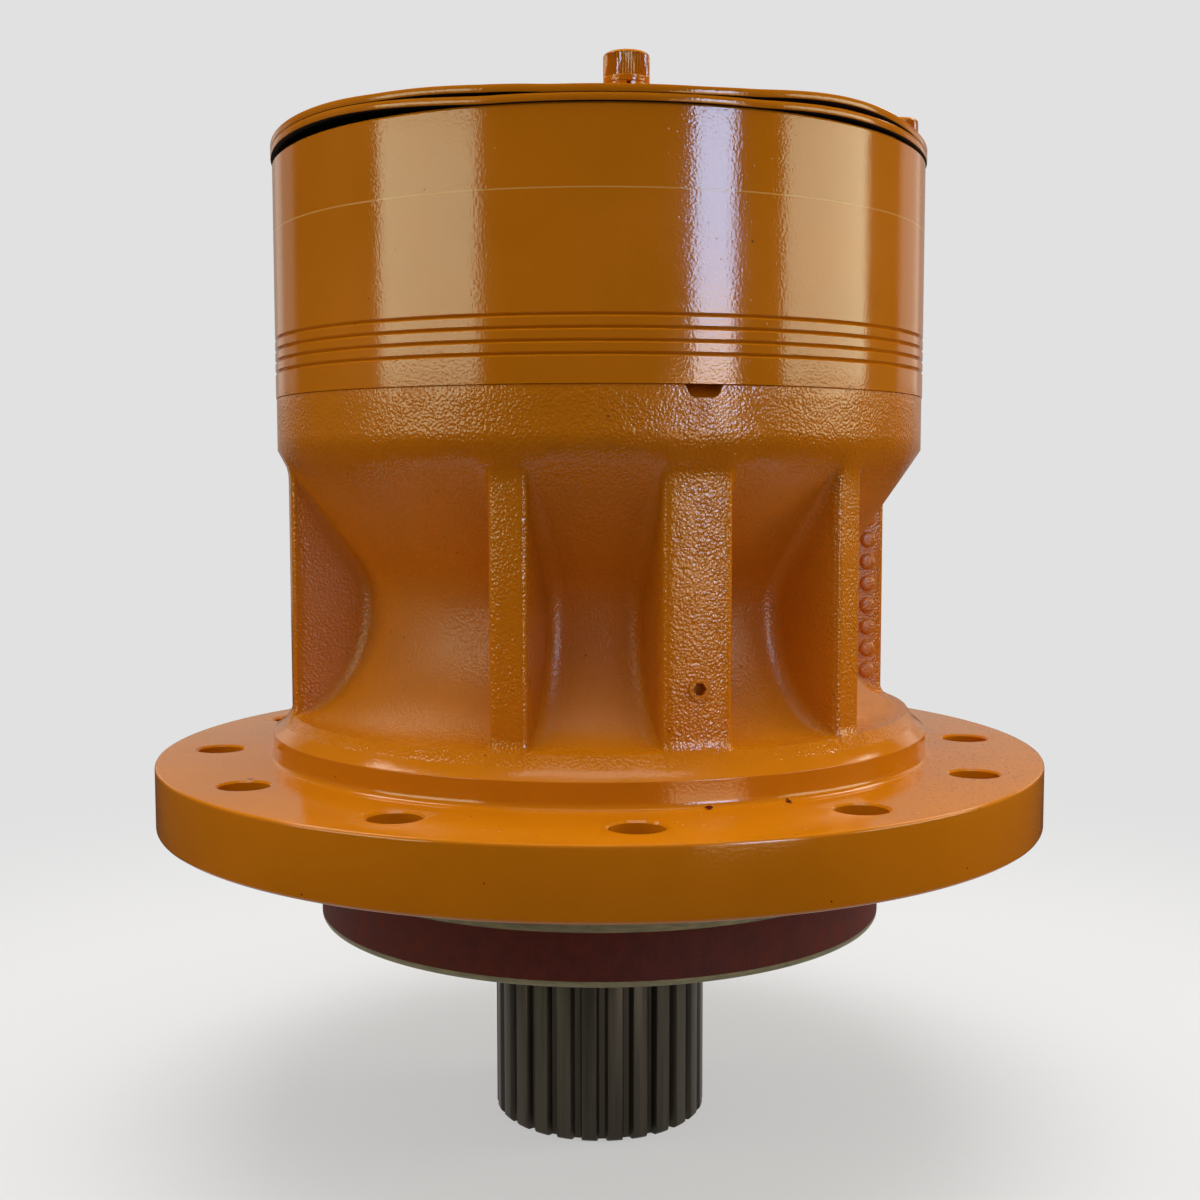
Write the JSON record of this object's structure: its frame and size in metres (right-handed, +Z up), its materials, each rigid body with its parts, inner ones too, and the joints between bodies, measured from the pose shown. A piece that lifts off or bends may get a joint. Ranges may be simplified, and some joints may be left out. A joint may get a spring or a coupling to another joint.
{
  "type": "excavator swing gearbox",
  "caption": "Two-stage planetary swing gearbox with a ribbed flanged casting, a splined output shaft pointing down, a ring gear and bolted shipping covers over the motor end.",
  "frame": {"origin": "centre of the seating face under the mounting flange, on the shaft's axis", "axes": "+Z up along the shaft's axis towards the motor end, the output spline points down along -Z, -Y is the front with the grease plug's rib just to its right"},
  "size_m": [0.42, 0.42, 0.4729],
  "materials": {
    "casting_enamel": "orange machine enamel sprayed over pebbly cast iron, red primer and bare machined iron below the flange",
    "ring_enamel": "orange machine enamel, glossy, over turned steel",
    "cover_enamel": "orange machine enamel over thin steel plate",
    "screw_enamel": "orange machine enamel over knurled socket screws",
    "shaft_steel": "hardened steel, dark and oiled, bright on the tooth crests",
    "gear_steel": "case-hardened gear steel, ground flanks, oiled",
    "ground_steel": "ground bearing steel",
    "screw_steel": "blackened screw steel",
    "spring_steel": "phosphated spring steel",
    "retainer_steel": "turned steel",
    "carrier_iron": "machined ductile iron, oiled",
    "bearing_bronze": "machined bearing bronze",
    "seal_rubber": "moulded nitrile rubber"
  },
  "bodies": {
    "housing": {"casting": "casting_enamel", "grease_plug": "casting_enamel", "ring_gear": "ring_enamel", "ring_screws": "screw_steel", "ring_dowels": "ground_steel", "shaft_seal": "seal_rubber", "seal_retainer": "retainer_steel", "retainer_screws": "screw_steel", "lower_cover_plate": "cover_enamel", "upper_cover_plate": "cover_enamel", "cover_spring_washers": "screw_enamel", "cover_screws": "screw_enamel", "lower_bearing_cup": "ground_steel", "upper_bearing_cup": "ground_steel"},
    "lower_roller_set": {"lower_bearing_rollers": "ground_steel"},
    "upper_roller_set": {"upper_bearing_rollers": "ground_steel"},
    "output": {"output_shaft": "shaft_steel", "seal_sleeve": "ground_steel", "bearing_nut": "retainer_steel", "lower_bearing_cone": "ground_steel", "upper_bearing_cone": "ground_steel", "second_carrier": "carrier_iron", "carrier_snap_ring": "spring_steel", "second_planet_pins": "ground_steel", "second_thrust_washers": "bearing_bronze"},
    "intermediate": {"second_sun_gear": "gear_steel", "first_carrier": "carrier_iron", "first_planet_pins": "ground_steel", "first_thrust_washers": "bearing_bronze", "thrust_button": "bearing_bronze"},
    "input": {"first_sun_gear": "gear_steel"},
    "second_planet_set_1": {"second_planet_1": "gear_steel", "second_planet_bush_1": "bearing_bronze"},
    "second_planet_set_2": {"second_planet_2": "gear_steel", "second_planet_bush_2": "bearing_bronze"},
    "second_planet_set_3": {"second_planet_3": "gear_steel", "second_planet_bush_3": "bearing_bronze"},
    "second_planet_set_4": {"second_planet_4": "gear_steel", "second_planet_bush_4": "bearing_bronze"},
    "first_planet_set_1": {"first_planet_1": "gear_steel", "first_planet_bush_1": "bearing_bronze"},
    "first_planet_set_2": {"first_planet_2": "gear_steel", "first_planet_bush_2": "bearing_bronze"},
    "first_planet_set_3": {"first_planet_3": "gear_steel", "first_planet_bush_3": "bearing_bronze"}
  },
  "joints": [
    {"name": "output_spin", "type": "hinge", "parent": "housing", "child": "output", "pos_m": [0, 0, 0], "axis": [0, 0, 1], "continuous": true},
    {"name": "lower_roller_spin", "type": "hinge", "parent": "housing", "child": "lower_roller_set", "pos_m": [0, 0, 0], "axis": [0, 0, 1], "continuous": true},
    {"name": "upper_roller_spin", "type": "hinge", "parent": "housing", "child": "upper_roller_set", "pos_m": [0, 0, 0], "axis": [0, 0, 1], "continuous": true},
    {"name": "intermediate_spin", "type": "hinge", "parent": "housing", "child": "intermediate", "pos_m": [0, 0, 0], "axis": [0, 0, 1], "continuous": true},
    {"name": "input_spin", "type": "hinge", "parent": "housing", "child": "input", "pos_m": [0, 0, 0], "axis": [0, 0, 1], "continuous": true},
    {"name": "second_planet_spin_1", "type": "hinge", "parent": "output", "child": "second_planet_set_1", "pos_m": [0.0594, 0.0594, 0], "axis": [0, 0, 1], "continuous": true},
    {"name": "second_planet_spin_2", "type": "hinge", "parent": "output", "child": "second_planet_set_2", "pos_m": [-0.0594, 0.0594, 0], "axis": [0, 0, 1], "continuous": true},
    {"name": "second_planet_spin_3", "type": "hinge", "parent": "output", "child": "second_planet_set_3", "pos_m": [-0.0594, -0.0594, 0], "axis": [0, 0, 1], "continuous": true},
    {"name": "second_planet_spin_4", "type": "hinge", "parent": "output", "child": "second_planet_set_4", "pos_m": [0.0594, -0.0594, 0], "axis": [0, 0, 1], "continuous": true},
    {"name": "first_planet_spin_1", "type": "hinge", "parent": "intermediate", "child": "first_planet_set_1", "pos_m": [0, 0.072, 0], "axis": [0, 0, 1], "continuous": true},
    {"name": "first_planet_spin_2", "type": "hinge", "parent": "intermediate", "child": "first_planet_set_2", "pos_m": [-0.06235, -0.036, 0], "axis": [0, 0, 1], "continuous": true},
    {"name": "first_planet_spin_3", "type": "hinge", "parent": "intermediate", "child": "first_planet_set_3", "pos_m": [0.06235, -0.036, 0], "axis": [0, 0, 1], "continuous": true}
  ],
  "couplings": [
    {"joint": "lower_roller_spin", "follows": "output_spin", "ratio": 0.4526},
    {"joint": "upper_roller_spin", "follows": "output_spin", "ratio": 0.4521},
    {"joint": "intermediate_spin", "follows": "output_spin", "ratio": 3.5},
    {"joint": "input_spin", "follows": "output_spin", "ratio": 21},
    {"joint": "second_planet_spin_1", "follows": "output_spin", "ratio": -3.3333},
    {"joint": "second_planet_spin_2", "follows": "output_spin", "ratio": -3.3333},
    {"joint": "second_planet_spin_3", "follows": "output_spin", "ratio": -3.3333},
    {"joint": "second_planet_spin_4", "follows": "output_spin", "ratio": -3.3333},
    {"joint": "first_planet_spin_1", "follows": "output_spin", "ratio": -8.75},
    {"joint": "first_planet_spin_2", "follows": "output_spin", "ratio": -8.75},
    {"joint": "first_planet_spin_3", "follows": "output_spin", "ratio": -8.75}
  ]
}
